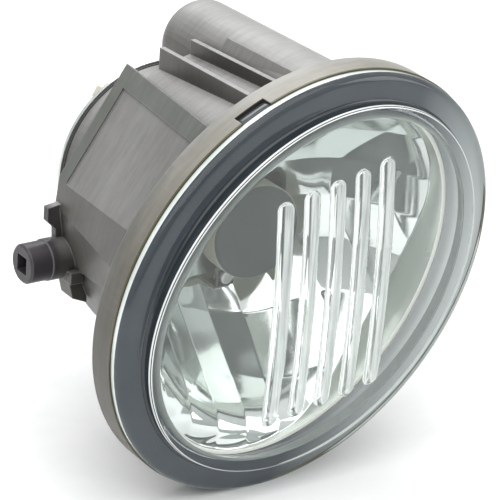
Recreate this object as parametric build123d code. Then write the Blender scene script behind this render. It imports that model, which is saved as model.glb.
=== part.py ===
from build123d import *
from math import cos, sin, radians
import os

# Lamp frame while modelling: +X right seen from the front, +Y rearwards, +Z up,
# Y = 0 at the widest line of the glass edge. The whole lamp is moved at the end
# so that the centre of its box is the origin. All sizes in millimetres.

# Lens outline: an oval leaning to the upper right
OVAL_MAJOR = 63.1
OVAL_MINOR = 52.0
OVAL_LEAN = 43.4

# Lens glass
FLANGE_FRONT = -2.0
FLANGE_BACK = 2.0
FLANGE_WIDTH = 7.4
GLASS_WALL = 2.8
WINDOW_FRONT = -9.6
DOME_RADIUS = 350.0
FLUTE_COUNT = 5
FLUTE_PITCH = 8.0
FLUTE_HALF = 2.2
FLUTE_RISE = 2.0
FLUTE_FIRST_X = -12.6
FLUTE_TOP_FIRST = 28.0
FLUTE_TOP_STEP = 1.6
FLUTE_BOTTOM_FIRST = -36.5
FLUTE_BOTTOM_STEP = 1.3
KEY_ANGLE = 109.5
KEY_WIDTH = 8.6
KEY_DEPTH = 3.0

# Bed between glass and housing
BED_THICKNESS = 0.6
BEAD_WIDTH = 0.5

# Housing
WALL = 2.4
RIM_OVERHANG = 0.4
RIM_FRONT = FLANGE_BACK + BED_THICKNESS
RIM_BACK = 10.5
LEDGE_Y = 3.8
LEDGE_GROW = -9.6
BOWL_FRONT = 16.0
BOWL_AT = (2.0, 3.0)
BOWL_FRONT_RADIUS = 47.3
BOWL_BACK_RADIUS = 44.2
BODY_BACK = 54.0
WALL_FOOT = (-44.5, 18.0)
WALL_TOP = (-25.0, 47.0)
WALL_KNEE_FRONT = (-48.6, 3.8)
WALL_KNEE_BACK = (-45.5, 9.8)
WALL_HEEL = (-43.5, -6.0)
WALL_RISE = -2.6
PANEL_DEPTH = 0.5
PANEL_BORDER = 6.0
PANEL_BACK = 50.0
FLOOR_Z = 42.0
FIN_TOPS = [(-14.9, 50.0), (-5.2, 50.8)]
FIN_RISES = [2.0, 2.7]
TOWER_FIN_TOP = (0.3, 53.9)
TOWER_FIN_BACK = 44.5
TOWER_FIN_RISE = 1.4
FIN_THICKNESS = 1.5
FIN_LENGTH = 12.0
SIDE_THICKNESS = 2.0
TOWER_AT = (8.8, 42.8)
TOWER_RADIUS = 11.8
TOWER_FRONT_RADIUS = 14.0
TOWER_BACK = 75.5
TOWER_ROUND = 6.0

# Optical axis and rear chamber
AXIS_Z = 5.0
NECK_RADIUS = 30.2
NECK_BACK = 76.0
NECK_BORE = 27.8
SCREW_CIRCLE = 26.4
SCREW_ANGLES = [125, 245, 5]
POST_RADIUS = 3.3

# Side pivots
PIVOT_Y = 51.0
PIVOT_Z = -4.5
PIVOT_RADIUS = 5.5
PIVOT_LENGTH = 12.0
PIVOT_END = 56.9
PIVOT_SHOULDER = 50.2
LUG_X = 44.0
LUG_Y = 45.5
LUG_DROP = 3.6
SQUARE_HOLE = 5.0
SQUARE_DEPTH = 8.0

# Reflector: a parabola about the optical axis, trimmed to an oval opening
OPENING_MAJOR = 51.4
OPENING_MINOR = 38.5
OPENING_LEAN = 50.0
FOCAL = 12.5
APEX_Y = 48.5
SKIN = 1.2
SKIRT_GROW = -9.9
BULB_HOLE = 7.2
COLLAR_RADIUS = 16.0
SEAT_Y = 54.0

# Bulb
BULB_RADIUS = 5.2
BULB_TIP = 27.0
BULB_SKIN = 0.8
BASE_FLANGE_RADIUS = 10.5
FILAMENT_Y = SEAT_Y - 18.0
CAN_RADIUS = 6.0
CAN_BACK = 60.5

# Bulb shield
CUP_RADIUS = 13.6
CUP_FRONT = 24.5
CUP_BACK = 32.5
SHEET = 0.8
FOOT_DROP = 18.5
FOOT_Y = 38.9
PAD_BACK = 46.0

# Bulb clip
WIRE = 0.6
CLIP_HALF = 8.0
CLIP_HINGE_Z = 13.0
CLIP_DROP = 13.0
CLIP_HOOK = 4.0
CLIP_Y = SEAT_Y + 1.0 + WIRE

# Earth tab below the bulb
EARTH_DROP = 13.2

# Rear cover
GASKET = 1.0
COVER_RADIUS = 30.8
COVER_SHEET = 1.0
DISH_RADIUS = 19.0
DISH_DEPTH = 3.0
COVER_FRONT = NECK_BACK + GASKET
SOCKET_AT = (3.0, -2.0)
SOCKET_BACK = 95.0
PIN_SPREAD = 3.0
PIN_FRONT = COVER_FRONT - 2.0
PIN_BACK = SOCKET_BACK - 4.8
RECEPTACLE_LENGTH = 5.5
LEAD_TURN = 71.5

FORWARD = (0, -1, 0)


def depth_plane(y):
    """Sketch plane at depth y, seen from the front with Z up."""
    return Plane(origin=(0, y, 0), x_dir=(1, 0, 0), z_dir=(0, -1, 0))


def oval(grow, y):
    """Oval face at depth y, `grow` outside the glass edge."""
    shape = Ellipse(OVAL_MAJOR + grow, OVAL_MINOR + grow)
    return depth_plane(y) * (Rot(0, 0, OVAL_LEAN) * shape)


def round_face(radius, y, centre):
    """Circle face at depth y, its seam in line with the oval's."""
    return (depth_plane(y) * (Pos(*centre) * Rot(0, 0, OVAL_LEAN) * Circle(radius))).face()


def oval_block(grow, front, back):
    return extrude(oval(grow, back), amount=back - front, dir=FORWARD)


def opening_block(grow, front, back):
    """Oval bar along the depth, `grow` outside the reflector's opening."""
    shape = Ellipse(OPENING_MAJOR + grow, OPENING_MINOR + grow)
    section = depth_plane(back) * (Rot(0, 0, OPENING_LEAN) * shape)
    return extrude(section, amount=back - front, dir=FORWARD)


def rod(radius, front, back, x=0.0, z=0.0):
    """Round bar along the depth."""
    section = depth_plane(back) * (Pos(x, z) * Circle(radius))
    return extrude(section, amount=back - front, dir=FORWARD)


def bar(width, height, front, back, x=0.0, z=0.0):
    """Rectangular bar along the depth."""
    section = depth_plane(back) * (Pos(x, z) * Rectangle(width, height))
    return extrude(section, amount=back - front, dir=FORWARD)


def prism(points, front, back):
    """Bar along the depth with a polygon section of (x, z) points."""
    section = depth_plane(back) * Polygon(*points, align=None)
    return extrude(section, amount=back - front, dir=FORWARD)


def side_rod(radius, x0, x1, y, z):
    """Round bar along X."""
    return Plane(origin=(x0, y, z), z_dir=(1, 0, 0)) * extrude(Circle(radius), amount=x1 - x0)


def turned(points):
    """Solid turned about the optical axis from (radius, y) points."""
    return Pos(0, 0, AXIS_Z) * revolve(Plane.XY * make_face(Polyline(*points, close=True)), Axis.Y)


def on_circle(angle, radius):
    return radius * cos(radians(angle)), AXIS_Z + radius * sin(radians(angle))


def wire_path(points, radius):
    """Round wire swept along a rounded path through points."""
    path = FilletPolyline(*points, radius=2 * radius)
    section = Plane(origin=path @ 0, z_dir=path % 0) * Circle(radius)
    return sweep(section, path)


# ---- lens -----------------------------------------------------------------

def dome(offset):
    """Ball whose front is the window surface, `offset` behind the outside."""
    return Pos(0, WINDOW_FRONT + DOME_RADIUS, 0) * Sphere(DOME_RADIUS - offset)


def flutes():
    """Upright convex ribs inside the window, each with rounded ends."""
    radius = (FLUTE_HALF**2 + FLUTE_RISE**2) / (2 * FLUTE_RISE)
    inner_face = WINDOW_FRONT + GLASS_WALL
    ribs = []
    for i in range(FLUTE_COUNT):
        x = FLUTE_FIRST_X + i * FLUTE_PITCH
        top = FLUTE_TOP_FIRST + i * FLUTE_TOP_STEP
        bottom = FLUTE_BOTTOM_FIRST + i * FLUTE_BOTTOM_STEP
        outline = SlotOverall(top - bottom, 2 * FLUTE_HALF - 0.2, rotation=90)
        section = depth_plane(0) * (Pos(x, (top + bottom) / 2) * outline)
        slot = extrude(section, amount=0.1 - inner_face, dir=FORWARD)
        ring = Torus(DOME_RADIUS - GLASS_WALL + radius - FLUTE_RISE, radius)
        rib = Pos(x, inner_face + DOME_RADIUS - GLASS_WALL, 0) * (Rot(0, 90, 0) * ring)
        ribs.append(slot & rib)
    return ribs


def key_block(front, back, inner, outer, width):
    """Block on the oval's edge at the key's angle."""
    lean = radians(KEY_ANGLE - OVAL_LEAN)
    reach = 1 / ((cos(lean) / OVAL_MAJOR) ** 2 + (sin(lean) / OVAL_MINOR) ** 2) ** 0.5
    block = Pos(reach + (inner + outer) / 2, 0) * Rectangle(outer - inner, width)
    section = depth_plane(back) * (Rot(0, 0, KEY_ANGLE) * block)
    return extrude(section, amount=back - front, dir=FORWARD)


def build_lens():
    flange = oval_block(0, FLANGE_FRONT, FLANGE_BACK)
    flange = fillet(flange.edges().group_by(Axis.Y)[0], 2.6)
    step = oval_block(-FLANGE_WIDTH, WINDOW_FRONT - 1, FLANGE_BACK) & dome(0)
    step = fillet(step.edges().group_by(Axis.Y)[0], 1.4)
    hollow = oval_block(-FLANGE_WIDTH - GLASS_WALL, WINDOW_FRONT, FLANGE_BACK + 1) & dome(GLASS_WALL)
    body = flange + step - hollow
    for rib in flutes():
        body = body + rib
    key = key_block(FLANGE_FRONT + 1, RIM_FRONT + KEY_DEPTH, -1.6, -0.1, KEY_WIDTH)
    return body + (key & oval_block(-0.05, -10, 20))


# ---- bed between glass and housing ------------------------------------------

def build_bed():
    """Flat ring under the glass, from the edge bead in to the reflector's opening."""
    ring = oval_block(-BEAD_WIDTH, FLANGE_BACK, RIM_FRONT) - opening_block(1.2, 0, 9)
    return ring - key_block(0, 9, -2.2, 3, KEY_WIDTH + 0.8)


def build_bead():
    ring = oval_block(RIM_OVERHANG, FLANGE_BACK, RIM_FRONT) - oval_block(-BEAD_WIDTH, 0, 9)
    return ring - key_block(0, 9, -2.2, 3, KEY_WIDTH + 0.8)


# ---- housing ----------------------------------------------------------------

def lean_plane(corner):
    """Plane of the leaning side wall through a corner: local x is the depth, local y runs down the wall."""
    run = WALL_TOP[0] - WALL_FOOT[0]
    rise = WALL_TOP[1] - WALL_FOOT[1]
    return Plane(origin=(corner[0], 0, corner[1]), x_dir=(0, 1, 0), z_dir=(-rise, 0, run))


def upright_plane(corner):
    """Upright plane through a corner, facing left: local x is the depth, local y runs down."""
    return Plane(origin=(corner[0], 0, corner[1]), x_dir=(0, 1, 0), z_dir=(-1, 0, 0))


def plate(plane, rise, length, thickness, front, back):
    """Plate in a plane, below its rear top corner; its top rises by `rise` to the front."""
    outline = Polygon((back, 0), (back, length), (front, length), (front, -rise), align=None)
    return extrude(plane * outline, amount=thickness, dir=-plane.z_dir)


def side_panel():
    """Shallow recess in the side wall, leaving a border along its top and rear edges."""
    plane = lean_plane(WALL_TOP)
    depths = (RIM_BACK - 1, PANEL_BACK)
    outline = Polygon(
        (depths[0], PANEL_BORDER - WALL_RISE),
        (depths[1], PANEL_BORDER),
        (depths[1], 50),
        (depths[0], 50),
        align=None,
    )
    return extrude(plane * outline, amount=PANEL_DEPTH, both=True)


def shoulder_face(inset, knee, y):
    drop = (WALL_TOP[1] - FLOOR_Z + inset) / (WALL_TOP[1] - WALL_FOOT[1])
    corner = (WALL_TOP[0] - drop * (WALL_TOP[0] - WALL_FOOT[0]), FLOOR_Z - inset)
    shift = 1.2 * inset
    points = [(x + shift, z) for x, z in (corner, WALL_FOOT, knee, WALL_HEEL)]
    points += [(WALL_HEEL[0] + 8, WALL_HEEL[1] - 6 + inset), (16, 0), (16, FLOOR_Z - inset)]
    return (depth_plane(y) * Polygon(*points, align=None)).face()


def shoulder(inset, front, back):
    """Block under the side wall and the fins, shrunk by `inset`; its knee drops towards the front."""
    faces = [shoulder_face(inset, WALL_KNEE_FRONT, front), shoulder_face(inset, WALL_KNEE_BACK, back)]
    return loft(faces, ruled=True)


def neck_outside():
    cone = loft(
        [
            round_face(BOWL_BACK_RADIUS, BODY_BACK, BOWL_AT),
            round_face(NECK_RADIUS + 2, BODY_BACK + 9, (0, AXIS_Z)),
        ],
        ruled=True,
    )
    return cone + rod(NECK_RADIUS, 62, NECK_BACK, 0, AXIS_Z)


def tower(inset, front, back, rounding):
    """Drafted round tower with a rounded rear end, shrunk by `inset`."""
    front_face = round_face(TOWER_FRONT_RADIUS - inset, front, TOWER_AT)
    shape = loft([front_face, round_face(TOWER_RADIUS - inset, back, TOWER_AT)], ruled=True)
    return fillet(shape.edges().group_by(Axis.Y)[-1], rounding)


def bowl_taper(inset, back):
    front_face = round_face(BOWL_FRONT_RADIUS - inset, BOWL_FRONT, BOWL_AT)
    return loft([front_face, round_face(BOWL_BACK_RADIUS - inset, back, BOWL_AT)], ruled=True)


def housing_outside():
    rim = oval_block(RIM_OVERHANG, RIM_FRONT, RIM_BACK)
    front_face = round_face(BOWL_FRONT_RADIUS, BOWL_FRONT, BOWL_AT)
    flare = loft([oval(-0.6, RIM_BACK).face(), front_face], ruled=True)
    bowl = bowl_taper(0, BODY_BACK)
    side = plate(lean_plane(WALL_TOP), WALL_RISE, FIN_LENGTH, SIDE_THICKNESS, RIM_BACK - 2, BODY_BACK)
    body = rim + flare + bowl + shoulder(0, RIM_BACK - 2, BODY_BACK) + side - side_panel()
    for top, rise in zip(FIN_TOPS, FIN_RISES):
        body = body + plate(upright_plane(top), rise, FIN_LENGTH, FIN_THICKNESS, RIM_BACK - 2, BODY_BACK)
    tower_fin = lean_plane(TOWER_FIN_TOP)
    body = body + plate(
        tower_fin, TOWER_FIN_RISE, FIN_LENGTH, FIN_THICKNESS, RIM_BACK - 2, TOWER_FIN_BACK
    )
    return body + tower(0, RIM_BACK - 3, TOWER_BACK, TOWER_ROUND) + neck_outside()


def housing_inside():
    mouth = oval_block(-FLANGE_WIDTH + 0.8, 0, LEDGE_Y)
    throat = oval_block(LEDGE_GROW, LEDGE_Y - 1, RIM_BACK - 1)
    inner_circle = round_face(BOWL_FRONT_RADIUS - WALL, BOWL_FRONT, BOWL_AT)
    flare = loft([oval(LEDGE_GROW, RIM_BACK - 1).face(), inner_circle], ruled=True)
    bowl = bowl_taper(WALL, BODY_BACK - WALL)
    cavity = mouth + throat + flare + bowl + shoulder(WALL, BOWL_FRONT, BODY_BACK - WALL)
    cavity = cavity + tower(WALL, RIM_BACK + 2, TOWER_BACK - WALL, TOWER_ROUND - 1)
    return cavity + rod(NECK_BORE, BODY_BACK - WALL - 1, NECK_BACK + 1, 0, AXIS_Z)


def pivot_boss(side):
    """Round pivot with a square socket, a rear gusset and a lower rib."""
    end = side * PIVOT_END
    root = side * (PIVOT_END - PIVOT_LENGTH)
    deep = side * 34
    boss = side_rod(PIVOT_RADIUS, *sorted((end, deep)), PIVOT_Y, PIVOT_Z)
    boss = chamfer(boss.edges().group_by(Axis.X)[0 if side < 0 else -1], 0.6)
    root_collar = side_rod(PIVOT_RADIUS + 0.3, *sorted((side * PIVOT_SHOULDER, deep)), PIVOT_Y, PIVOT_Z)
    gusset = prism(
        [
            (root - side * 6, PIVOT_Z + 16.4),
            (root + side * 4.5, PIVOT_Z + 14.9),
            (root + side * 4.5, PIVOT_Z + 11),
            (root + side * 2, PIVOT_Z + 8.5),
            (root + side * 1.5, PIVOT_Z),
            (root - side * 6, PIVOT_Z),
        ],
        BODY_BACK - 3,
        BODY_BACK - 0.8,
    )
    rib = prism(
        [
            (root - side * 6, PIVOT_Z - 3),
            (root + side * 0.5, PIVOT_Z - 3),
            (root - side * 1.5, PIVOT_Z - 11),
            (root - side * 6, PIVOT_Z - 13),
        ],
        BODY_BACK - 7.5,
        BODY_BACK - 1.5,
    )
    lug = Pos(side * LUG_X, LUG_Y, PIVOT_Z - LUG_DROP) * Box(3.8, 4.0, 3.4)
    return boss + root_collar + gusset + rib + lug


def pivot_socket(side):
    centre = side * (PIVOT_END - SQUARE_DEPTH / 2)
    return Pos(centre, PIVOT_Y, PIVOT_Z) * Box(SQUARE_DEPTH + 0.01, SQUARE_HOLE, SQUARE_HOLE)


def screw_posts():
    posts = []
    for angle in SCREW_ANGLES:
        x, z = on_circle(angle, SCREW_CIRCLE - 0.4)
        posts.append(rod(POST_RADIUS, 60, NECK_BACK, x, z))
    return posts


def build_housing():
    body = housing_outside()
    for side in (-1, 1):
        body = body + pivot_boss(side)
    body = body - housing_inside()
    for post in screw_posts():
        body = body + post
    for angle in SCREW_ANGLES:
        body = body - rod(1.6, NECK_BACK - 10, NECK_BACK + 1, *on_circle(angle, SCREW_CIRCLE))
    for side in (-1, 1):
        body = body - pivot_socket(side)
    body = body - key_block(0, RIM_FRONT + KEY_DEPTH + 0.4, -2.2, 3, KEY_WIDTH + 0.8)
    return body.solids().sort_by(SortBy.VOLUME)[-1]


# ---- reflector ----------------------------------------------------------------

def parabola(offset):
    """Solid of the reflecting bowl, grown by `offset`."""
    front = -2.0
    reach = (4 * FOCAL * (APEX_Y - front)) ** 0.5
    curve = Bezier((0, APEX_Y), (reach / 2, APEX_Y), (reach, front))
    shift = Pos(0, offset) * curve
    grown = [shift @ 0, shift @ 1]
    lines = Polyline(grown[1], (0, front + offset), (0, APEX_Y + offset))
    profile = make_face([shift.edge(), *lines.edges()])
    return Pos(0, 0, AXIS_Z) * revolve(Plane.XY * profile, Axis.Y)


def build_reflector():
    outer = parabola(SKIN * 1.3) & oval_block(SKIRT_GROW, LEDGE_Y - SKIN, APEX_Y + 5)
    inner = parabola(0) & opening_block(0, 0, APEX_Y + 5)
    flange = oval_block(-FLANGE_WIDTH + 0.5, LEDGE_Y - SKIN, LEDGE_Y)
    collar = rod(COLLAR_RADIUS, APEX_Y - 8, SEAT_Y, 0, AXIS_Z)
    foot_x, foot_z = on_circle(-90, FOOT_DROP)
    pad = rod(3.6, FOOT_Y, PAD_BACK, foot_x, foot_z)
    body = outer + flange + collar - inner + pad
    body = body - rod(BULB_HOLE, APEX_Y - 12, SEAT_Y + 1, 0, AXIS_Z)
    body = body - rod(1.25, FOOT_Y - 1, PAD_BACK + 1, foot_x, foot_z)
    return body.solids().sort_by(SortBy.VOLUME)[-1]


# ---- bulb, shield and clip -----------------------------------------------------

def capsule(radius, tip, back):
    shape = rod(radius, tip, back, 0, AXIS_Z)
    return fillet(shape.edges().group_by(Axis.Y)[0], radius - 0.2)


def build_bulb_glass():
    outer = capsule(BULB_RADIUS, BULB_TIP, SEAT_Y - 2)
    inner = capsule(BULB_RADIUS - BULB_SKIN, BULB_TIP + BULB_SKIN, SEAT_Y - 7)
    return outer - inner


def build_bulb_base():
    sleeve = rod(6.4, SEAT_Y - 6, SEAT_Y, 0, AXIS_Z) - rod(BULB_RADIUS, SEAT_Y - 9, SEAT_Y - 2, 0, AXIS_Z)
    flange = rod(BASE_FLANGE_RADIUS, SEAT_Y, SEAT_Y + 1, 0, AXIS_Z)
    notch = bar(4, 6, SEAT_Y - 1, SEAT_Y + 2, 0, AXIS_Z - BASE_FLANGE_RADIUS)
    can = rod(CAN_RADIUS, SEAT_Y + 1, CAN_BACK, 0, AXIS_Z)
    can = fillet(can.edges().group_by(Axis.Y)[-1], 1.0)
    return sleeve + (flange - notch) + can


def build_filament():
    coil = side_rod(0.7, -2.6, 2.6, FILAMENT_Y, AXIS_Z)
    legs = [rod(0.35, FILAMENT_Y, SEAT_Y - 7, x, AXIS_Z) for x in (-2.4, 2.4)]
    return coil + legs[0] + legs[1]


def build_shield():
    cup = rod(CUP_RADIUS, CUP_FRONT, CUP_BACK, 0, AXIS_Z)
    cup = fillet(cup.edges().group_by(Axis.Y)[0], 1.2)
    cup = cup - rod(CUP_RADIUS - SHEET, CUP_FRONT + SHEET, CUP_BACK + 1, 0, AXIS_Z)
    z_cup = AXIS_Z - CUP_RADIUS
    z_foot = AXIS_Z - FOOT_DROP
    leg = Plane.YZ * Polygon(
        (CUP_BACK - 3, z_cup + SHEET / 2),
        (CUP_BACK + 1, z_cup + SHEET / 2),
        (FOOT_Y, z_foot + 2.8),
        (FOOT_Y, z_foot - 2.8),
        (FOOT_Y - SHEET, z_foot - 2.8),
        (FOOT_Y - SHEET, z_foot + 2.4),
        (CUP_BACK + 0.4, z_cup - SHEET / 2),
        (CUP_BACK - 3, z_cup - SHEET / 2),
        align=None,
    )
    strip = extrude(leg, amount=2.6, both=True)
    strip = strip - rod(CUP_RADIUS - SHEET, CUP_FRONT, CUP_BACK, 0, AXIS_Z)
    hole = rod(1.25, FOOT_Y - 2, FOOT_Y + 2, 0, z_foot)
    return cup + strip - hole


def build_shield_rivet():
    z_foot = AXIS_Z - FOOT_DROP
    front = FOOT_Y - SHEET
    shank = rod(1.2, front - 0.5, PAD_BACK + 0.5, 0, z_foot)
    head = rod(2.2, front - 1.1, front, 0, z_foot)
    tail = rod(2.0, PAD_BACK, PAD_BACK + 0.9, 0, z_foot)
    return fillet(head.edges().group_by(Axis.Y)[0], 0.8) + shank + tail


def build_clip():
    """Spring wire: a hinge bar, two legs astride the base and two latch hooks."""
    z_hinge = AXIS_Z + CLIP_HINGE_Z
    z_free = AXIS_Z - CLIP_DROP
    tip = CLIP_HALF + CLIP_HOOK
    corners = [
        (-tip, CLIP_Y, z_free),
        (-CLIP_HALF, CLIP_Y, z_free),
        (-CLIP_HALF, CLIP_Y, z_hinge),
        (CLIP_HALF, CLIP_Y, z_hinge),
        (CLIP_HALF, CLIP_Y, z_free),
        (tip, CLIP_Y, z_free),
    ]
    return wire_path(corners, WIRE)


def build_clip_brackets():
    """Two riveted ears that carry the clip's hinge bar and one latch hook."""
    z_hinge = AXIS_Z + CLIP_HINGE_Z
    ears = []
    for side in (-1, 1):
        x = side * 4.2
        ear = Pos(x, SEAT_Y + 1.5, z_hinge) * Box(2.0, 3.0, 4.4)
        ears.append(ear - side_rod(WIRE + 0.05, x - 3, x + 3, CLIP_Y, z_hinge))
    return ears


# ---- rear cover ------------------------------------------------------------------

def build_gasket():
    ring = rod(NECK_RADIUS + 0.2, NECK_BACK, COVER_FRONT, 0, AXIS_Z)
    ring = ring - rod(NECK_BORE - 5.2, NECK_BACK - 1, COVER_FRONT + 1, 0, AXIS_Z)
    for angle in SCREW_ANGLES:
        ring = ring - rod(2.1, NECK_BACK - 1, COVER_FRONT + 1, *on_circle(angle, SCREW_CIRCLE))
    return ring


def build_cover():
    back = COVER_FRONT + COVER_SHEET
    plate = turned(
        [
            (0, COVER_FRONT + DISH_DEPTH),
            (DISH_RADIUS - 2, COVER_FRONT + DISH_DEPTH),
            (DISH_RADIUS, COVER_FRONT),
            (COVER_RADIUS, COVER_FRONT),
            (COVER_RADIUS, back),
            (DISH_RADIUS + 0.7, back),
            (DISH_RADIUS - 1.3, back + DISH_DEPTH),
            (0, back + DISH_DEPTH),
        ]
    )
    for angle in SCREW_ANGLES:
        plate = plate - rod(2.1, COVER_FRONT - 1, back + 1, *on_circle(angle, SCREW_CIRCLE))
    x, z = SOCKET_AT
    return plate - bar(15.0, 9.0, COVER_FRONT, back + DISH_DEPTH + 1, x, AXIS_Z + z)


def build_cover_screws():
    """Flanged hex screws through the cover into the posts."""
    back = COVER_FRONT + COVER_SHEET
    screws = []
    for angle in SCREW_ANGLES:
        x, z = on_circle(angle, SCREW_CIRCLE)
        shank = rod(1.58, NECK_BACK - 9, back, x, z)
        washer = rod(4.0, back, back + 0.9, x, z)
        hexagon = depth_plane(back + 4.6) * (Pos(x, z) * RegularPolygon(3.4, 6))
        head = extrude(hexagon, amount=4.1, dir=FORWARD)
        head = chamfer(head.edges().group_by(Axis.Y)[-1], 0.8)
        screws.append(shank + washer + head)
    return screws


def build_socket():
    """Two-pin connector shroud held in the cover."""
    x, z = SOCKET_AT[0], AXIS_Z + SOCKET_AT[1]
    seat = COVER_FRONT + DISH_DEPTH + COVER_SHEET
    body = bar(14.9, 8.9, COVER_FRONT + 1, SOCKET_BACK, x, z)
    flange = bar(19.0, 13.0, seat, seat + 2, x, z)
    hollow = bar(11.7, 6.1, seat + 3, SOCKET_BACK + 1, x, z)
    body = fillet((body + flange).edges().filter_by(Axis.Y), 1.4)
    body = body - hollow
    for side in (-1, 1):
        body = body - bar(2.9, 0.9, COVER_FRONT, SOCKET_BACK, x + side * PIN_SPREAD, z)
    return body


def build_pins():
    x, z = SOCKET_AT[0], AXIS_Z + SOCKET_AT[1]
    return [bar(2.8, 0.8, PIN_FRONT, PIN_BACK, x + side * PIN_SPREAD, z) for side in (-1, 1)]


# ---- leads inside the rear chamber --------------------------------------------------

def build_bulb_blade():
    return bar(4.8, 0.8, CAN_BACK, CAN_BACK + 5.0, 0, AXIS_Z)


def build_earth_tab():
    """Earth blade standing on the collar below the bulb."""
    z = AXIS_Z - EARTH_DROP
    foot = bar(4.8, 4.4, SEAT_Y, SEAT_Y + 0.8, 0, z)
    return foot + bar(4.8, 0.8, SEAT_Y + 0.8, CAN_BACK + 5.0, 0, z)


def receptacle(x, z):
    """Folded sleeve pushed on a blade from behind."""
    front = CAN_BACK + 1.0
    shell = bar(6.4, 2.6, front, front + RECEPTACLE_LENGTH, x, z)
    return shell - bar(4.9, 0.9, front - 1, front + 4.1, x, z)


def build_receptacles():
    return [receptacle(0, AXIS_Z), receptacle(0, AXIS_Z - EARTH_DROP)]


def lead(z, turn, pin_x):
    """Insulated wire from a receptacle to one connector pin."""
    pin_z = AXIS_Z + SOCKET_AT[1]
    start = CAN_BACK + 1.0 + RECEPTACLE_LENGTH
    corners = [(0, start, z), (0, turn, z), (pin_x, turn, pin_z), (pin_x, PIN_FRONT, pin_z)]
    return wire_path(corners, 0.7)


def build_leads():
    x = SOCKET_AT[0]
    live = lead(AXIS_Z, LEAD_TURN, x + PIN_SPREAD)
    earth = lead(AXIS_Z - EARTH_DROP, LEAD_TURN - 1.5, x - PIN_SPREAD)
    return [live, earth]


def parts():
    return {
        "housing": build_housing(),
        "lens": build_lens(),
        "lens_bed": build_bed(),
        "edge_sealant": build_bead(),
        "reflector": build_reflector(),
        "bulb_shield": build_shield(),
        "shield_rivet": build_shield_rivet(),
        "bulb_glass": build_bulb_glass(),
        "bulb_filament": build_filament(),
        "bulb_base": build_bulb_base(),
        "bulb_blade": build_bulb_blade(),
        "bulb_clip": build_clip(),
        "clip_ears": Compound(children=build_clip_brackets()),
        "earth_tab": build_earth_tab(),
        "cover_gasket": build_gasket(),
        "rear_cover": build_cover(),
        "cover_screws": Compound(children=build_cover_screws()),
        "connector_shell": build_socket(),
        "connector_pins": Compound(children=build_pins()),
        "lead_receptacles": Compound(children=build_receptacles()),
        "leads": Compound(children=build_leads()),
    }


def main():
    os.makedirs("parts", exist_ok=True)
    nodes = parts()
    box = Compound(children=[Compound(children=list(shape.solids())) for shape in nodes.values()]).bounding_box()
    centre = box.center()
    print("centre moved to the origin:", round(centre.X, 3), round(centre.Y, 3), round(centre.Z, 3))
    print("box:", box.size)
    for name, shape in nodes.items():
        export_step(Pos(-centre.X, -centre.Y, -centre.Z) * shape, f"parts/{name}.step")


main()
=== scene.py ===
import math

import bmesh
import bpy
from mathutils import Matrix, Vector

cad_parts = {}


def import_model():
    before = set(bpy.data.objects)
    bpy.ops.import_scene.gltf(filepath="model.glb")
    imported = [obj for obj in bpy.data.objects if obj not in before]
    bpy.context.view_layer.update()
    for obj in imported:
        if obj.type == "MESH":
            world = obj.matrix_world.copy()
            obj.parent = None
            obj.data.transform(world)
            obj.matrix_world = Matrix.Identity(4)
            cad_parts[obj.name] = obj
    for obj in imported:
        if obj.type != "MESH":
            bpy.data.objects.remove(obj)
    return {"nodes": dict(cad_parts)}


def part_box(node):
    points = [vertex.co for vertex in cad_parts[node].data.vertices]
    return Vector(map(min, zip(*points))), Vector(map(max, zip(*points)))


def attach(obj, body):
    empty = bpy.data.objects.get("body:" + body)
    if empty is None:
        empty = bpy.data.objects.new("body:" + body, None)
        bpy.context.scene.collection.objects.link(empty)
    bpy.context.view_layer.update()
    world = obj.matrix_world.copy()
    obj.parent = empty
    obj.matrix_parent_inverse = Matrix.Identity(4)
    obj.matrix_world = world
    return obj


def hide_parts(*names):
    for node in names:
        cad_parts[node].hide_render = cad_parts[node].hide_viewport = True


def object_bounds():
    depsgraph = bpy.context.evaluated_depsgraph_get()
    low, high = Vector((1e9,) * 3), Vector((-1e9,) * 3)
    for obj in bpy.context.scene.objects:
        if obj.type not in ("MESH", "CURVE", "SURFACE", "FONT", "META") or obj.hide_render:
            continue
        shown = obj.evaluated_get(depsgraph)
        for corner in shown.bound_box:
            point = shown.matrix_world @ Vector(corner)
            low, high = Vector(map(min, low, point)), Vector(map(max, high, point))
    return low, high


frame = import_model()
cad_low, cad_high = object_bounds()

MM = 0.001

# Lens, window and reflector in millimetres, in the lamp's own frame; the edge roundings are a little
# smaller than the CAD's
OVAL = (63.1, 52.0)
LEAN = math.radians(43.4)
EDGE_ROUND = 2.2
STEP = 7.4
WINDOW_FRONT = -9.6
DOME = 350.0
GLASS = 2.8
LIP_ROUND = 1.1
AXIS_Z = 5.0
FOCAL = 12.5
APEX = 48.5
OPENING = (51.4, 38.5)
OPENING_LEAN = math.radians(50.0)
KEY_ANGLE = math.radians(109.5)
KEY_WIDTH = 8.6

lens_low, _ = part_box("lens")
GLASS_LINE = lens_low.y / MM - WINDOW_FRONT


# ---- mesh helpers -----------------------------------------------------------

def place(x, y, z):
    """Point of the lamp frame (mm, y from the glass's widest line) in metres of the row frame."""
    return Vector((x, y + GLASS_LINE, z)) * MM


def leaning_oval(axes, lean, angle, share=1.0):
    u = axes[0] * share * math.cos(angle)
    v = axes[1] * share * math.sin(angle)
    return u * math.cos(lean) - v * math.sin(lean), u * math.sin(lean) + v * math.cos(lean)


def oval_point(grow, angle, share=1.0):
    """Point on the oval `grow` mm outside the glass edge, scaled towards the middle by share."""
    return leaning_oval((OVAL[0] + grow, OVAL[1] + grow), LEAN, angle, share)


def opening_point(grow, angle, share=1.0):
    """Point on the reflector's opening, at the same ring angle as the glass edge's oval."""
    axes = (OPENING[0] + grow, OPENING[1] + grow)
    return leaning_oval(axes, OPENING_LEAN, angle + LEAN - OPENING_LEAN, share)


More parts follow.
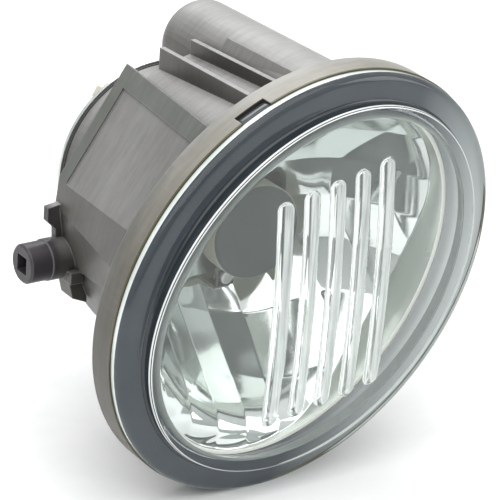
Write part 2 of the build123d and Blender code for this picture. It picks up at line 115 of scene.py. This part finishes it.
def ring_mesh(name, rings, loop=False, slots=None):
    """Mesh from rings of points; an end ring may be one centre point; slots give a material per band."""
    bm = bmesh.new()
    rows = [[bm.verts.new(p) for p in ring] for ring in rings]
    pairs = list(zip(rows, rows[1:]))
    if loop:
        pairs.append((rows[-1], rows[0]))
    for band, (first, second) in enumerate(pairs):
        slot = slots[band] if slots else 0
        if len(second) == 1 or len(first) == 1:
            many, one = (first, second[0]) if len(second) == 1 else (second, first[0])
            for i in range(len(many)):
                bm.faces.new((many[i], many[(i + 1) % len(many)], one)).material_index = slot
            continue
        for i in range(len(first)):
            j = (i + 1) % len(first)
            bm.faces.new((first[i], first[j], second[j], second[i])).material_index = slot
    bmesh.ops.recalc_face_normals(bm, faces=bm.faces)
    mesh = bpy.data.meshes.new(name)
    bm.to_mesh(mesh)
    bm.free()
    for polygon in mesh.polygons:
        polygon.use_smooth = True
    piece = bpy.data.objects.new(name, mesh)
    bpy.context.scene.collection.objects.link(piece)
    return piece


# ---- lens ---------------------------------------------------------------------

def dome(x, z, offset=0.0):
    radius = DOME - offset
    return WINDOW_FRONT + DOME - math.sqrt(radius * radius - x * x - z * z)


FLUTES = 5
PITCH = 8.0
FIRST = -10.8
TOP, TOP_STEP = 28.0, 1.6
BOTTOM, BOTTOM_STEP = -36.5, 1.3
RISE = 2.0
FLUTE_HALF = 2.2


def flute_height(x, z):
    """Height of the upright ridges on the inside of the window."""
    best = 0.0
    for i in range(FLUTES):
        centre = FIRST + i * PITCH - PITCH / 2 + FLUTE_HALF
        across = abs(x - centre)
        if across >= FLUTE_HALF:
            continue
        top = TOP + i * TOP_STEP
        bottom = BOTTOM + i * BOTTOM_STEP
        beyond = max(z - (top - FLUTE_HALF), (bottom + FLUTE_HALF) - z, 0.0)
        distance = math.hypot(across, beyond) / FLUTE_HALF
        if distance < 1:
            best = max(best, RISE * (1 - distance * distance) ** 0.55)
    return best


# Material slots of the lens. LAND, SHADE, LINE and PALE are opaque: LAND a painted glow on the glass's edge, SHADE
# painted shade on the window's outer wall with painted light seen from within, LINE a painted highlight on the window's
# lip, PALE painted light on the window's inner wall.
CLEAR, LAND, SHADE, LINE, PALE, FLUTED = range(6)


def build_lens(segments=720):
    """Flange, raised window and fluted inner face; each band of the profile has its own material slot."""
    angles = [2 * math.pi * i / segments for i in range(segments)]
    land = [(-0.25, 2.0), (-0.08, 1.93), (0.0, 1.75), (0.0, 1.0)]
    flange = [(0.0, 0.2)]
    for k in range(1, 10):
        a = math.radians(k * 10)
        flange.append((-EDGE_ROUND + EDGE_ROUND * math.cos(a), 0.2 - EDGE_ROUND * math.sin(a)))
    flange += [(-3.6, -2.05), (-4.8, -2.1), (-6.0, -2.15)]
    foot = []
    for k in range(1, 7):
        a = math.radians(k * 15)
        foot.append((-6.4 - math.sin(a), -3.15 + math.cos(a)))
    front = [[place(*spread(g, y, a)) for a in angles] for g, y in land + flange + foot]
    slots = [LAND] * len(land) + [CLEAR] * len(flange) + [SHADE] * len(foot)
    for k in range(0, 7):
        t = math.radians(k * 15)
        front.append([place(*rounded_lip(a, t, LIP_ROUND)) for a in angles])
    slots += [LINE, LINE, SHADE, LINE, CLEAR, CLEAR, CLEAR]
    for share in steps(1.0, 0.0, 30)[1:-1]:
        front.append([place(*window_point(a, share, 0.0)) for a in angles])
        slots.append(CLEAR)
    front.append([place(0, dome(0, 0), 0)])

    inner = [(-0.9, 2.0), (-3.0, 2.0), (-6.0, 2.0), (-9.6, 2.0), (-10.2, 1.4), (-10.2, 0.0)]
    back = [[place(*spread(g, y, a)) for a in angles] for g, y in inner]
    back_slots = [CLEAR] * 5 + [PALE] * 6
    for k in range(0, 7):
        t = math.radians(k * 15)
        back.append([place(*inner_lip(a, t, 1.6)) for a in angles])
    for share in steps(1.0, 0.0, 125)[1:-1]:
        back.append([place(*window_point(a, share, GLASS)) for a in angles])
    back.append([place(0, dome(0, 0, GLASS) + flute_height(0, 0), 0)])
    back_slots += [CLEAR] * 6 + [FLUTED] * (len(back) - 7 - len(back_slots))
    return ring_mesh("lens_glass", front[::-1] + back, slots=slots[::-1] + [LAND] + back_slots)


def spread(grow, y, angle):
    x, z = oval_point(grow, angle)
    return x, y, z


def rounded_lip(angle, t, radius):
    """Round edge from the window's side wall to its front."""
    x, z = oval_point(-STEP - radius + radius * math.cos(t), angle)
    edge_x, edge_z = oval_point(-STEP - radius, angle)
    y = dome(edge_x, edge_z) + radius - radius * math.sin(t)
    return x, y, z


def inner_lip(angle, t, radius):
    x, z = oval_point(-STEP - GLASS - radius + radius * math.cos(t), angle)
    edge_x, edge_z = oval_point(-STEP - GLASS - radius, angle)
    y = dome(edge_x, edge_z, GLASS) + radius - radius * math.sin(t)
    return x, y, z


def window_point(angle, share, offset):
    grow = -STEP - LIP_ROUND if offset == 0 else -STEP - GLASS - 1.6
    x, z = oval_point(grow, angle, share)
    y = dome(x, z, offset)
    if offset:
        y += flute_height(x, z)
    return x, y, z


def steps(start, end, count):
    return [start + (end - start) * i / count for i in range(count + 1)]


def build_key(count=24):
    """Location key: a rounded block of glass that follows the edge of the oval behind the flange."""
    reach = 0.5 * KEY_WIDTH / OVAL[1]
    middle = KEY_ANGLE - LEAN
    middle = math.atan2(math.sin(middle) / OVAL[1], math.cos(middle) / OVAL[0])
    profile = [(-0.5, 1.6), (-0.15, 1.9), (-0.15, 5.2), (-0.5, 5.6), (-1.3, 5.6), (-1.6, 5.3), (-1.6, 1.9), (-1.3, 1.6)]
    rings = []
    for i in range(count + 1):
        share = 2 * i / count - 1
        inset = 0.35 * max(0.0, abs(share) - 0.85) / 0.15
        ring = []
        for grow, y in profile:
            grow = grow + inset * (-0.85 - grow)
            ring.append(place(*spread(grow, y + inset * (3.6 - y) * 0.5, middle + share * reach)))
        rings.append(ring)
    first = [sum((Vector(p) for p in rings[0]), Vector()) / len(profile)]
    last = [sum((Vector(p) for p in rings[-1]), Vector()) / len(profile)]
    return ring_mesh("lens_key", [first] + rings + [last])


# ---- reflector ------------------------------------------------------------------

def bowl_depth(x, z, front):
    """Parabola of the reflector, easing into a shallow slope where it would pass the front."""
    y = APEX - (x * x + (z - AXIS_Z) ** 2) / (4 * FOCAL)
    ease = 4.0
    return front + ease * math.log1p(math.exp(min(60.0, (y - front) / ease)))


FACET_WIDTH = 10.5
FACET_HEIGHT = 12.5
SMOOTH_RADIUS = 20.0


def facet_offset(x, z):
    """Crowned facets that meet in creases; the rows and columns wander a little."""
    r = math.hypot(x, z - AXIS_Z)
    if r < SMOOTH_RADIUS:
        return 0.0
    u = x / FACET_WIDTH + 0.3 * math.sin((z - AXIS_Z) / 11.0 + 0.6)
    v = (z - AXIS_Z) / FACET_HEIGHT + 0.26 * math.sin(x / 9.0 + 1.1)
    across = u - math.floor(u) - 0.5
    up = v - math.floor(v) - 0.5
    return min(1.0, (r - SMOOTH_RADIUS) / 8) * (1.5 * across * across + 1.2 * up * up)


def bowl_ring(share, grow, angles, facets, lift, front):
    """Ring of the bowl at a share of the way from the axis out to the opening."""
    ring = []
    for a in angles:
        ox, oz = opening_point(grow, a) if facets else oval_point(grow, a)
        x = ox * share
        z = AXIS_Z * (1 - share) + oz * share
        y = bowl_depth(x, z, front) + lift + (facet_offset(x, z) if facets else 0.0)
        ring.append(place(x, max(y, front), z))
    return ring


def build_reflector(segments=540):
    angles = [2 * math.pi * i / segments for i in range(segments)]
    inside = [bowl_ring(share, 0.0, angles, True, 0.0, 3.2) for share in steps(0.14, 1.0, 120)]
    lip = [[place(opening_point(grow, a)[0], y, opening_point(grow, a)[1]) for a in angles]
           for grow, y in ((0.15, 2.85), (0.5, 2.65), (1.5, 2.65))]
    lip += [[place(*spread(g, y, a)) for a in angles] for g, y in ((-7.2, 2.65), (-7.2, 3.75), (-9.9, 3.75))]
    outside = [bowl_ring(share, -9.9, angles, False, 2.4, 4.2) for share in steps(1.0, 0.14, 40)]
    slots = [0] * (len(inside) - 1) + [2, 1, 1] + [0] * (len(lip) - 2 + len(outside))
    return ring_mesh("reflector_bowl", inside + lip + outside, loop=True, slots=slots)


# ---- materials ---------------------------------------------------------------------

def new_material(name):
    material = bpy.data.materials.new(name)
    material.use_nodes = True
    tree = material.node_tree
    tree.nodes.clear()
    output = tree.nodes.new("ShaderNodeOutputMaterial")
    shader = tree.nodes.new("ShaderNodeBsdfPrincipled")
    tree.links.new(shader.outputs["BSDF"], output.inputs["Surface"])
    return material, tree, shader, output


def coordinates(tree, stretch=(1, 1, 1)):
    source = tree.nodes.new("ShaderNodeTexCoord")
    mapping = tree.nodes.new("ShaderNodeMapping")
    mapping.inputs["Scale"].default_value = stretch
    tree.links.new(source.outputs["Object"], mapping.inputs["Vector"])
    return mapping.outputs["Vector"]


def noise(tree, vector, scale, detail=3.0, roughness=0.5):
    node = tree.nodes.new("ShaderNodeTexNoise")
    node.inputs["Scale"].default_value = scale
    node.inputs["Detail"].default_value = detail
    node.inputs["Roughness"].default_value = roughness
    tree.links.new(vector, node.inputs["Vector"])
    return node.outputs["Fac"]


def ramp(tree, value, stops):
    node = tree.nodes.new("ShaderNodeValToRGB")
    tree.links.new(value, node.inputs["Fac"])
    elements = node.color_ramp.elements
    while len(elements) < len(stops):
        elements.new(0.5)
    for element, (position, colour) in zip(elements, stops):
        element.position = position
        element.color = (*colour, 1.0)
    return node.outputs["Color"]


def grey(value):
    return (value, value, value)


def bump(tree, height, strength, distance, below=None):
    node = tree.nodes.new("ShaderNodeBump")
    node.inputs["Strength"].default_value = strength
    node.inputs["Distance"].default_value = distance
    tree.links.new(height, node.inputs["Height"])
    if below is not None:
        tree.links.new(below, node.inputs["Normal"])
    return node.outputs["Normal"]


def rounded_edges(tree, radius):
    node = tree.nodes.new("ShaderNodeBevel")
    node.samples = 4
    node.inputs["Radius"].default_value = radius
    return node.outputs["Normal"]


def surface(name, dark, light, roughness, metallic=0.0, grain=900.0, cloud=60.0, depth=0.00004,
            edge=0.0003, stretch=(1, 1, 1), specular=0.5, coat=0.0, strength=0.35):
    """Mottled surface: two tones from cloud noise, uneven roughness, fine grain as bump."""
    material, tree, shader, _ = new_material(name)
    vector = coordinates(tree, stretch)
    mottle = noise(tree, vector, cloud, 5.0, 0.6)
    tree.links.new(ramp(tree, mottle, [(0.3, dark), (0.7, light)]), shader.inputs["Base Color"])
    rough = ramp(tree, noise(tree, vector, cloud * 3, 4.0),
                 [(0.3, grey(max(roughness - 0.07, 0.02))), (0.75, grey(min(roughness + 0.07, 1.0)))])
    tree.links.new(rough, shader.inputs["Roughness"])
    below = rounded_edges(tree, edge) if edge else None
    tree.links.new(bump(tree, noise(tree, vector, grain, 2.0), strength, depth, below), shader.inputs["Normal"])
    shader.inputs["Metallic"].default_value = metallic
    shader.inputs["Specular IOR Level"].default_value = specular
    shader.inputs["Coat Weight"].default_value = coat
    return material


def share_of(tree, value, low, high):
    """0 at low, 1 at high, clamped."""
    node = tree.nodes.new("ShaderNodeMapRange")
    node.inputs["From Min"].default_value = low
    node.inputs["From Max"].default_value = high
    tree.links.new(value, node.inputs["Value"])
    return node.outputs["Result"]


def along(tree, vector, direction):
    """How far a point lies along a direction, in mm when the vector is a position."""
    node = tree.nodes.new("ShaderNodeVectorMath")
    node.operation = "DOT_PRODUCT"
    node.inputs[1].default_value = direction
    tree.links.new(vector, node.inputs[0])
    return node.outputs["Value"]


def combine(tree, first, second, operation="MULTIPLY"):
    node = tree.nodes.new("ShaderNodeMath")
    node.operation = operation
    for slot, value in zip(node.inputs, (first, second)):
        if isinstance(value, float):
            slot.default_value = value
        else:
            tree.links.new(value, slot)
    return node.outputs[0]


def blend_colour(tree, share, first, second, blend="MIX"):
    node = tree.nodes.new("ShaderNodeMix")
    node.data_type = "RGBA"
    node.blend_type = blend
    for slot, value in ((0, share), (6, first), (7, second)):
        if isinstance(value, tuple):
            node.inputs[slot].default_value = (*value, 1.0)
        elif isinstance(value, float):
            node.inputs[slot].default_value = value
        else:
            tree.links.new(value, node.inputs[slot])
    return node.outputs[2]


def base_colour(material):
    """The material's tree, its shader and whatever feeds the base colour now."""
    tree = material.node_tree
    shader = next(n for n in tree.nodes if n.type == "BSDF_PRINCIPLED")
    return tree, shader, shader.inputs["Base Color"].links[0].from_socket


def clear_glass(name, tint, roughness=0.0, ior=1.5, painted_flanks=False):
    """Clear glass that lets light reach what is behind it; painted highlight on the flutes' flanks."""
    material, tree, shader, output = new_material(name)
    glass = tree.nodes.new("ShaderNodeBsdfGlass")
    glass.inputs["IOR"].default_value = ior
    vector = coordinates(tree)
    tone = ramp(tree, noise(tree, vector, 25.0), [(0.2, tint), (0.9, tuple(min(1.0, t * 1.01) for t in tint))])
    tree.links.new(tone, glass.inputs["Color"])
    rough = ramp(tree, noise(tree, vector, 60.0), [(0.35, grey(roughness)), (0.8, grey(roughness + 0.003))])
    tree.links.new(rough, glass.inputs["Roughness"])
    tree.links.new(bump(tree, noise(tree, vector, 30.0, 1.0), 0.05, 0.00004), glass.inputs["Normal"])
    body = glass.outputs["BSDF"]
    if painted_flanks:
        body = flank_painted_highlight(tree, shader, body, vector)
    else:
        tree.nodes.remove(shader)
    clear = tree.nodes.new("ShaderNodeBsdfTransparent")
    path = tree.nodes.new("ShaderNodeLightPath")
    through = combine(tree, path.outputs["Is Shadow Ray"], path.outputs["Is Diffuse Ray"], "MAXIMUM")
    mirrored = combine(tree, path.outputs["Is Glossy Ray"], path.outputs["Is Transmission Ray"], "SUBTRACT")
    through = combine(tree, through, mirrored, "MAXIMUM")
    mix = tree.nodes.new("ShaderNodeMixShader")
    tree.links.new(through, mix.inputs["Fac"])
    tree.links.new(body, mix.inputs[1])
    tree.links.new(clear.outputs["BSDF"], mix.inputs[2])
    tree.links.new(mix.outputs["Shader"], output.inputs["Surface"])
    return material


def flank_painted_highlight(tree, shader, body, vector):
    """Painted highlight: pale sheen on faces that lean sideways, streaked along the flutes."""
    facing = tree.nodes.new("ShaderNodeNewGeometry")
    steep = combine(tree, along(tree, facing.outputs["Normal"], (1.0, 0.0, 0.0)), 2.0, "POWER")
    streaks = noise(tree, coordinates(tree, (1.0, 1.0, 0.03)), 1400.0, 2.0)
    share = combine(tree, share_of(tree, steep, 0.01, 0.14), share_of(tree, streaks, -0.2, 0.65))
    tree.links.new(ramp(tree, noise(tree, vector, 80.0), [(0.3, (0.78, 0.83, 0.81)), (0.7, (0.9, 0.94, 0.92))]),
                   shader.inputs["Base Color"])
    shader.inputs["Roughness"].default_value = 0.2
    mix = tree.nodes.new("ShaderNodeMixShader")
    tree.links.new(combine(tree, share, 0.85), mix.inputs["Fac"])
    tree.links.new(body, mix.inputs[1])
    tree.links.new(shader.outputs["BSDF"], mix.inputs[2])
    return mix.outputs["Shader"]


# Direction towards which painted light pales the glass's seat.
PAINTED_LIGHT_SIDE = (0.934, 0.0, -0.356)
WALL_NORMAL = (-0.83, 0.0, 0.558)


def in_mm(direction):
    return tuple(part / MM for part in direction)


def wall_shade():
    """Outer side of the raised window: painted shade, dark from outside, and painted light, pale when seen from within
    the glass.
    """
    material = surface("glass_wall_painted_shade_and_light", (0.02, 0.026, 0.031), (0.03, 0.037, 0.043), 0.12, edge=0.0, strength=0.05)
    tree, shader, base = base_colour(material)
    facing = tree.nodes.new("ShaderNodeNewGeometry")
    # Painted light: pale where the wall is seen from within the glass.
    tree.links.new(blend_colour(tree, facing.outputs["Backfacing"], base, (0.85, 0.89, 0.87)),
                   shader.inputs["Base Color"])
    return material


def bed_rubber():
    """Black seat of the glass, its blue tint a painted reflection, with painted light paling it towards the lower
    right.
    """
    material = surface("bed_rubber", (0.028, 0.038, 0.05), (0.04, 0.053, 0.066), 0.5, edge=0.0, strength=0.05)
    tree, shader, base = base_colour(material)
    # Painted light: paler towards the lower right.
    painted_light_share = share_of(tree, along(tree, coordinates(tree), in_mm(PAINTED_LIGHT_SIDE)), 14.0, 56.0)
    tree.links.new(blend_colour(tree, painted_light_share, base, (0.5, 0.54, 0.53)), shader.inputs["Base Color"])
    return material


def shield_metal():
    """Dark front, olive-grey turned-back side: a painted reflection, dark surroundings on the front and pale ones on
    the side.
    """
    material = surface("shield_paint", (0.04, 0.052, 0.049), (0.055, 0.068, 0.065), 0.35, edge=0.0, strength=0.1,
                       specular=0.2)
    tree, shader, front_tone = base_colour(material)
    facing = tree.nodes.new("ShaderNodeNewGeometry")
    # Painted reflection: dark on faces turned to the front, olive-grey on the rest.
    front = share_of(tree, along(tree, facing.outputs["True Normal"], (0.0, -1.0, 0.0)), 0.55, 0.65)
    tree.links.new(blend_colour(tree, front, (0.3, 0.3, 0.24), front_tone), shader.inputs["Base Color"])
    return material


def painted_edge_highlight(tree, radius):
    """Painted highlight: bright where the rounded normal leaves the flat one."""
    flat = tree.nodes.new("ShaderNodeNewGeometry")
    dot = tree.nodes.new("ShaderNodeVectorMath")
    dot.operation = "DOT_PRODUCT"
    tree.links.new(rounded_edges(tree, radius), dot.inputs[0])
    tree.links.new(flat.outputs["Normal"], dot.inputs[1])
    return ramp(tree, dot.outputs["Value"], [(0.75, grey(0.16)), (0.985, grey(0.0))])


def housing_plastic():
    """Filled moulding: olive-brown rim, grey body, streaks round the lamp, painted shade in hollows, painted light on
    upward faces and painted shade on the others, dark round the pivot boss with painted shadow, painted highlight on
    edges.
    """
    material = surface("moulded_plastic", (0.165, 0.163, 0.158), (0.225, 0.223, 0.221), 0.42, cloud=38.0,
                       depth=0.00005, edge=0.0005, grain=1400.0)
    tree, shader, base = base_colour(material)
    place_mm = coordinates(tree)
    depth = along(tree, place_mm, in_mm((0.0, 1.0, 0.0)))
    rim_back = place(0, 10.5, 0).y / MM
    rim = share_of(tree, depth, rim_back + 2.0, rim_back - 4.0)
    base = blend_colour(tree, rim, base, blend_colour(tree, 1.0, base, (0.86, 0.83, 0.73), "MULTIPLY"))

    facing = tree.nodes.new("ShaderNodeNewGeometry")
    on_wall = share_of(tree, along(tree, facing.outputs["True Normal"], WALL_NORMAL), 0.97, 0.99)
    outwards = along(tree, place_mm, in_mm(WALL_NORMAL))
    body = combine(tree, on_wall, combine(tree, 1.0, rim, "SUBTRACT"))
    border = combine(tree, body, share_of(tree, outwards, 46.6, 46.9))
    base = blend_colour(tree, border, base, blend_colour(tree, 1.0, base, (0.62, 0.66, 0.62), "MULTIPLY"))

    streaks = ramp(tree, noise(tree, coordinates(tree, (1.0, 7.0, 1.0)), 90.0, 6.0, 0.65),
                   [(0.35, grey(0.88)), (0.7, grey(1.1))])
    # Painted shade: darker in hollows and between the fins.
    hollow = tree.nodes.new("ShaderNodeAmbientOcclusion")
    hollow.samples = 6
    hollow.inputs["Distance"].default_value = 0.02
    painted_hollow_shade = ramp(tree, hollow.outputs["AO"], [(0.25, (0.3, 0.27, 0.25)), (0.9, grey(1.0))])
    base = blend_colour(tree, 1.0, blend_colour(tree, 1.0, base, streaks, "MULTIPLY"), painted_hollow_shade, "MULTIPLY")

    # Painted light and shade: faces turned up lighter, the others darker.
    painted_top_light = share_of(tree, along(tree, facing.outputs["True Normal"], (0.0, 0.0, 1.0)), 0.2, 0.97)
    base = blend_colour(tree, painted_top_light, blend_colour(tree, 1.0, base, (0.5, 0.485, 0.455), "MULTIPLY"),
                        blend_colour(tree, 1.0, base, (1.6, 1.6, 1.6), "MULTIPLY"))

    # Dark round the pivot boss: partly the boss's own dark colour, partly painted shadow.
    outward = combine(tree, along(tree, place_mm, in_mm((1.0, 0.0, 0.0))), 2.0, "POWER")
    pivot_tone_and_shadow = share_of(tree, outward, 45.5 ** 2, 49.0 ** 2)
    behind = share_of(tree, depth, place(0, 38, 0).y / MM, place(0, 41, 0).y / MM)
    pivot_tone_and_shadow = combine(tree, pivot_tone_and_shadow, behind)
    base = blend_colour(tree, pivot_tone_and_shadow, base, (0.035, 0.03, 0.034))
    base = blend_colour(tree, 1.0, base, painted_edge_highlight(tree, 0.0006), "ADD")
    tree.links.new(base, shader.inputs["Base Color"])
    return material


MATERIALS = {
    "housing": housing_plastic(),
    "lens_bed": bed_rubber(),
    "edge_sealant": surface("sealant_bead", (0.06, 0.055, 0.025), (0.1, 0.09, 0.045), 0.4, edge=0.0),
    "bulb_shield": shield_metal(),
    "shield_rivet": surface("rivet_steel", (0.4, 0.4, 0.4), (0.6, 0.6, 0.6), 0.3, 1.0),
    "bulb_filament": surface("tungsten_wire", (0.2, 0.2, 0.21), (0.35, 0.35, 0.36), 0.4, 1.0, edge=0.0),
    "bulb_base": surface("base_steel", (0.5, 0.49, 0.46), (0.65, 0.64, 0.6), 0.28, 1.0),
    "bulb_blade": surface("blade_brass", (0.55, 0.45, 0.22), (0.75, 0.62, 0.34), 0.32, 1.0),
    "bulb_clip": surface("spring_wire", (0.38, 0.38, 0.4), (0.6, 0.6, 0.62), 0.25, 1.0, edge=0.0),
    "clip_ears": surface("ear_steel", (0.45, 0.45, 0.44), (0.62, 0.62, 0.6), 0.35, 1.0),
    "earth_tab": surface("earth_brass", (0.55, 0.45, 0.22), (0.75, 0.62, 0.34), 0.32, 1.0),
    "cover_gasket": surface("gasket_rubber", (0.03, 0.03, 0.028), (0.06, 0.06, 0.055), 0.6, edge=0.0),
    "rear_cover": surface("zinc_sheet", (0.55, 0.58, 0.56), (0.74, 0.77, 0.74), 0.35, 0.85, cloud=120.0),
    "cover_screws": surface("yellow_zinc", (0.72, 0.66, 0.48), (0.88, 0.85, 0.72), 0.35, 0.7, cloud=300.0),
    "connector_shell": surface("connector_plastic", (0.015, 0.015, 0.017), (0.035, 0.035, 0.038), 0.45),
    "connector_pins": surface("pin_brass", (0.55, 0.47, 0.28), (0.75, 0.66, 0.42), 0.3, 1.0, edge=0.0001),
    "lead_receptacles": surface("receptacle_brass", (0.5, 0.42, 0.22), (0.72, 0.62, 0.38), 0.34, 1.0, edge=0.0001),
    "leads": surface("lead_cover", (0.012, 0.012, 0.012), (0.03, 0.03, 0.03), 0.5, edge=0.0),
    "bulb_glass": clear_glass("bulb_quartz", (0.97, 0.98, 1.0), ior=1.46),
}

for node, material in MATERIALS.items():
    piece = frame["nodes"][node]
    piece.data.materials.clear()
    piece.data.materials.append(material)

lens = build_lens()
# Lens slots in order: clear glass, painted glow on the edge's land, painted shade and light on the outer wall, painted
# highlight on the lip, painted light on the inner wall, fluted glass with a painted highlight on the flanks.
for material in (
    clear_glass("lens_pressed_glass", (0.985, 0.995, 0.99), ior=1.42),
    surface("glass_land_painted_glow", (0.6, 0.66, 0.63), (0.75, 0.8, 0.78), 0.2, edge=0.0, strength=0.1, coat=1.0),
    wall_shade(),
    surface("glass_lip_painted_highlight", (0.7, 0.73, 0.72), (0.85, 0.87, 0.86), 0.15, edge=0.0, strength=0.05, coat=1.0),
    surface("glass_wall_painted_light", (0.2, 0.225, 0.215), (0.27, 0.3, 0.29), 0.2, edge=0.0, strength=0.05),
    clear_glass("fluted_glass", (0.985, 0.995, 0.99), ior=1.42, painted_flanks=True),
):
    lens.data.materials.append(material)
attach(lens, "lamp")
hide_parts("lens")

key = build_key()
key.data.materials.append(surface("key_glass", (0.03, 0.035, 0.04), (0.05, 0.06, 0.065), 0.12, edge=0.0, strength=0.1))
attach(key, "lamp")

reflector = build_reflector()
reflector.data.materials.append(
    surface("mirror_coat", (0.62, 0.66, 0.64), (0.7, 0.74, 0.72), 0.06, 1.0, cloud=40.0, depth=0.00001, edge=0.0))
reflector.data.materials.append(
    surface("lip_coat", (0.72, 0.73, 0.68), (0.82, 0.83, 0.78), 0.3, 0.0, edge=0.0, strength=0.05))
reflector.data.materials.append(
    surface("skirt_coat", (0.38, 0.42, 0.38), (0.46, 0.5, 0.46), 0.22, 0.55, cloud=30.0, edge=0.0, strength=0.05))
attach(reflector, "lamp")
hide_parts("reflector")


# ---- studio ------------------------------------------------------------------------

def floor():
    bm = bmesh.new()
    bmesh.ops.create_grid(bm, x_segments=8, y_segments=8, size=2.0)
    mesh = bpy.data.meshes.new("floor")
    bm.to_mesh(mesh)
    bm.free()
    plane = bpy.data.objects.new("floor", mesh)
    plane.location = (0, 0, cad_low.z - 0.0005)
    bpy.context.scene.collection.objects.link(plane)
    plane.data.materials.append(surface("floor_paper", (0.86, 0.87, 0.87), (0.9, 0.9, 0.9), 0.8, grain=200.0, edge=0.0))


def area_light(name, place_at, size, power, colour=(1, 1, 1)):
    data = bpy.data.lights.new(name, "AREA")
    data.shape = "RECTANGLE"
    data.size, data.size_y = size
    data.energy = power
    data.color = colour
    light = bpy.data.objects.new(name, data)
    light.location = place_at
    aim = -Vector(place_at)
    light.rotation_mode = "QUATERNION"
    light.rotation_quaternion = aim.to_track_quat("-Z", "Y")
    bpy.context.scene.collection.objects.link(light)


def camera():
    azimuth, elevation, roll = (math.radians(v) for v in (-35.92, 24.74, 4.45))
    target = Vector((0.35 * MM, GLASS_LINE * MM + 3 * MM, 0))
    toward = Vector((math.sin(azimuth) * math.cos(elevation),
                     -math.cos(azimuth) * math.cos(elevation), math.sin(elevation)))
    level = Vector((math.cos(azimuth), math.sin(azimuth), 0))
    lift = toward.cross(level)
    right = level * math.cos(roll) + lift * math.sin(roll)
    up = toward.cross(right)
    data = bpy.data.cameras.new("camera")
    data.lens = 217.2
    data.sensor_width = 36.0
    data.shift_x = -0.1
    data.shift_y = 0.058
    data.clip_start = 0.05
    data.clip_end = 20
    eye = bpy.data.objects.new("camera", data)
    turn = Matrix((right, up, toward)).transposed().to_4x4()
    eye.matrix_world = Matrix.Translation(target + toward * 0.8) @ turn
    bpy.context.scene.collection.objects.link(eye)
    bpy.context.scene.camera = eye


def world():
    """Studio walls that brighten towards the ceiling, with a darker patch behind the camera."""
    sky = bpy.data.worlds.new("studio")
    sky.use_nodes = True
    tree = sky.node_tree
    background = tree.nodes["Background"]
    source = tree.nodes.new("ShaderNodeTexCoord")
    height = along(tree, source.outputs["Generated"], (0.0, 0.0, 1.0))
    shade = ramp(tree, share_of(tree, height, -0.2, 1.0),
                 [(0.0, (0.4, 0.42, 0.4)), (0.17, (0.5, 0.53, 0.52)), (0.5, (0.8, 0.82, 0.82)), (0.9, (1, 1, 1))])
    toward = along(tree, source.outputs["Generated"], (-0.45, -0.85, 0.25))
    patch = share_of(tree, toward, 0.93, 0.80)
    patch = combine(tree, combine(tree, patch, 0.65), 0.35, "ADD")
    tree.links.new(blend_colour(tree, 1.0, shade, patch, "MULTIPLY"), background.inputs["Color"])
    background.inputs["Strength"].default_value = 0.95
    bpy.context.scene.world = sky


floor()
area_light("key", (-0.5, -0.3, 1.3), (2.0, 2.0), 18)
area_light("fill", (0.9, -0.8, 0.6), (0.6, 0.9), 5)
area_light("rim", (0.3, 0.9, 0.9), (0.8, 0.5), 5)
camera()
world()
bpy.context.scene.view_settings.view_transform = "Standard"
bpy.context.scene.cycles.use_denoising = True
